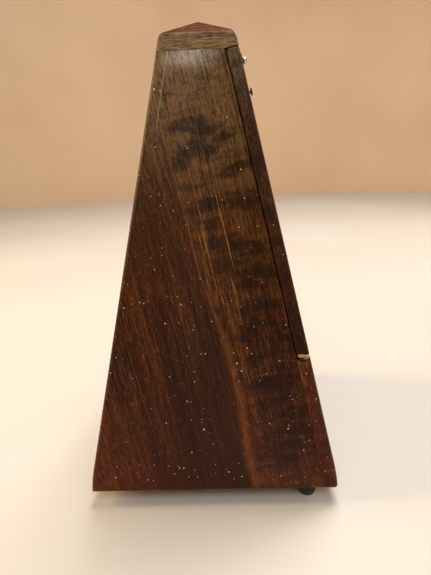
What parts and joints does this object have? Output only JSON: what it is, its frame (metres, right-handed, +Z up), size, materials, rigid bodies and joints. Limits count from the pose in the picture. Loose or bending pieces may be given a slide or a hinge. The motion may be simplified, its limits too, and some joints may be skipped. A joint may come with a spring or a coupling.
{
  "type": "pendulum metronome",
  "caption": "Wooden pyramid case with a lift-off front cover, a pendulum with a sliding tempo weight, and a spring-driven wheel train wound by a side key.",
  "frame": {"origin": "on the floor under the middle of the case, at the plane of the feet", "axes": "+Z up, the removable cover faces -Y, the winding key is on the +X side"},
  "size_m": [0.1305, 0.117, 0.2137],
  "materials": {
    "brass": "polished brass",
    "rubber": "moulded black rubber",
    "scale": "printed cream enamel on aluminium",
    "steel": "brushed steel",
    "wood_base_board": "plain unfinished wood",
    "wood_case": "dark stained walnut with a satin lacquer",
    "wood_scale_board": "dark stained wood, satin"
  },
  "bodies": {
    "case": {"angle_plate_screws": "steel", "angle_wood_screws": "steel", "back_board": "wood_case", "base_board": "wood_base_board", "catch_screw": "brass", "click_screw": "steel", "click_spring": "steel", "click_spring_screw": "steel", "cock_screws": "steel", "cover_catch": "steel", "foot_screws": "steel", "front_cock": "brass", "front_left_foot": "rubber", "front_right_foot": "rubber", "inner_movement_plate": "brass", "key_hole_bush": "brass", "left_side_board": "wood_case", "lower_front_board": "wood_case", "mounting_angles": "steel", "outer_movement_plate": "brass", "pillar_screws": "steel", "plate_pillars": "brass", "rear_cock": "brass", "rear_foot": "rubber", "right_side_board": "wood_case", "rod_rest": "brass", "rod_rest_screw": "brass", "scale_board": "wood_scale_board", "scale_plate": "scale", "scale_plate_pins": "brass", "top_cap": "wood_case"},
    "cover": {"cover_panel": "wood_case", "cover_rails": "wood_case", "cover_knob": "steel", "cover_stud": "steel", "cover_tabs": "brass", "cover_tab_screws": "brass"},
    "pendulum": {"pendulum_rod": "steel", "pendulum_bob": "brass", "bob_rivets": "steel", "rod_collar": "brass", "verge_arbor": "steel", "front_pallet": "steel", "rear_pallet": "steel"},
    "tempo_weight": {"sliding_weight": "brass", "weight_spring": "steel"},
    "barrel": {"great_wheel": "brass", "barrel_drum": "brass", "barrel_lid": "brass", "mainspring": "steel"},
    "winding": {"winding_arbor": "steel", "ratchet_wheel": "steel", "winding_key": "steel"},
    "middle": {"middle_arbor": "steel", "middle_pinion": "steel", "middle_wheel": "brass"},
    "escape": {"escape_arbor": "steel", "escape_pinion": "steel", "crown_wheel": "brass"},
    "click": {"ratchet_click": "steel"}
  },
  "joints": [
    {"name": "cover_tilt", "type": "hinge", "parent": "case", "child": "cover", "pos_m": [0, -0.0454, 0.0686], "axis": [1, 0, 0], "range_deg": [0, 70], "deforming": ["cover_catch"]},
    {"name": "pendulum_swing", "type": "hinge", "parent": "case", "child": "pendulum", "pos_m": [0, -0.02322, 0.05275], "axis": [0, 0.9781, -0.2083], "range_deg": [-5.5, 5.5]},
    {"name": "weight_slide", "type": "slide", "parent": "pendulum", "child": "tempo_weight", "axis": [0, 0.2083, 0.9781], "range_m": [-0.03, 0.057]},
    {"name": "barrel_spin", "type": "hinge", "parent": "case", "child": "barrel", "pos_m": [0.02, 0.003, 0.032], "axis": [1, 0, 0], "continuous": true},
    {"name": "middle_spin", "type": "hinge", "parent": "case", "child": "middle", "pos_m": [0.02, 0.00687, 0.05213], "axis": [1, 0, 0], "continuous": true},
    {"name": "escape_spin", "type": "hinge", "parent": "case", "child": "escape", "pos_m": [0.02, -0.0105, 0.05004], "axis": [1, 0, 0], "continuous": true},
    {"name": "key_turn", "type": "hinge", "parent": "case", "child": "winding", "pos_m": [0.02, 0.003, 0.032], "axis": [-1, 0, 0], "range_deg": [0, 1440]},
    {"name": "click_lift", "type": "hinge", "parent": "case", "child": "click", "pos_m": [0.0358, -0.0105, 0.038], "axis": [-1, 0, 0], "range_deg": [0, 6]}
  ],
  "couplings": [
    {"joint": "middle_spin", "follows": "barrel_spin", "ratio": -7.2},
    {"joint": "escape_spin", "follows": "barrel_spin", "ratio": 43.2}
  ]
}
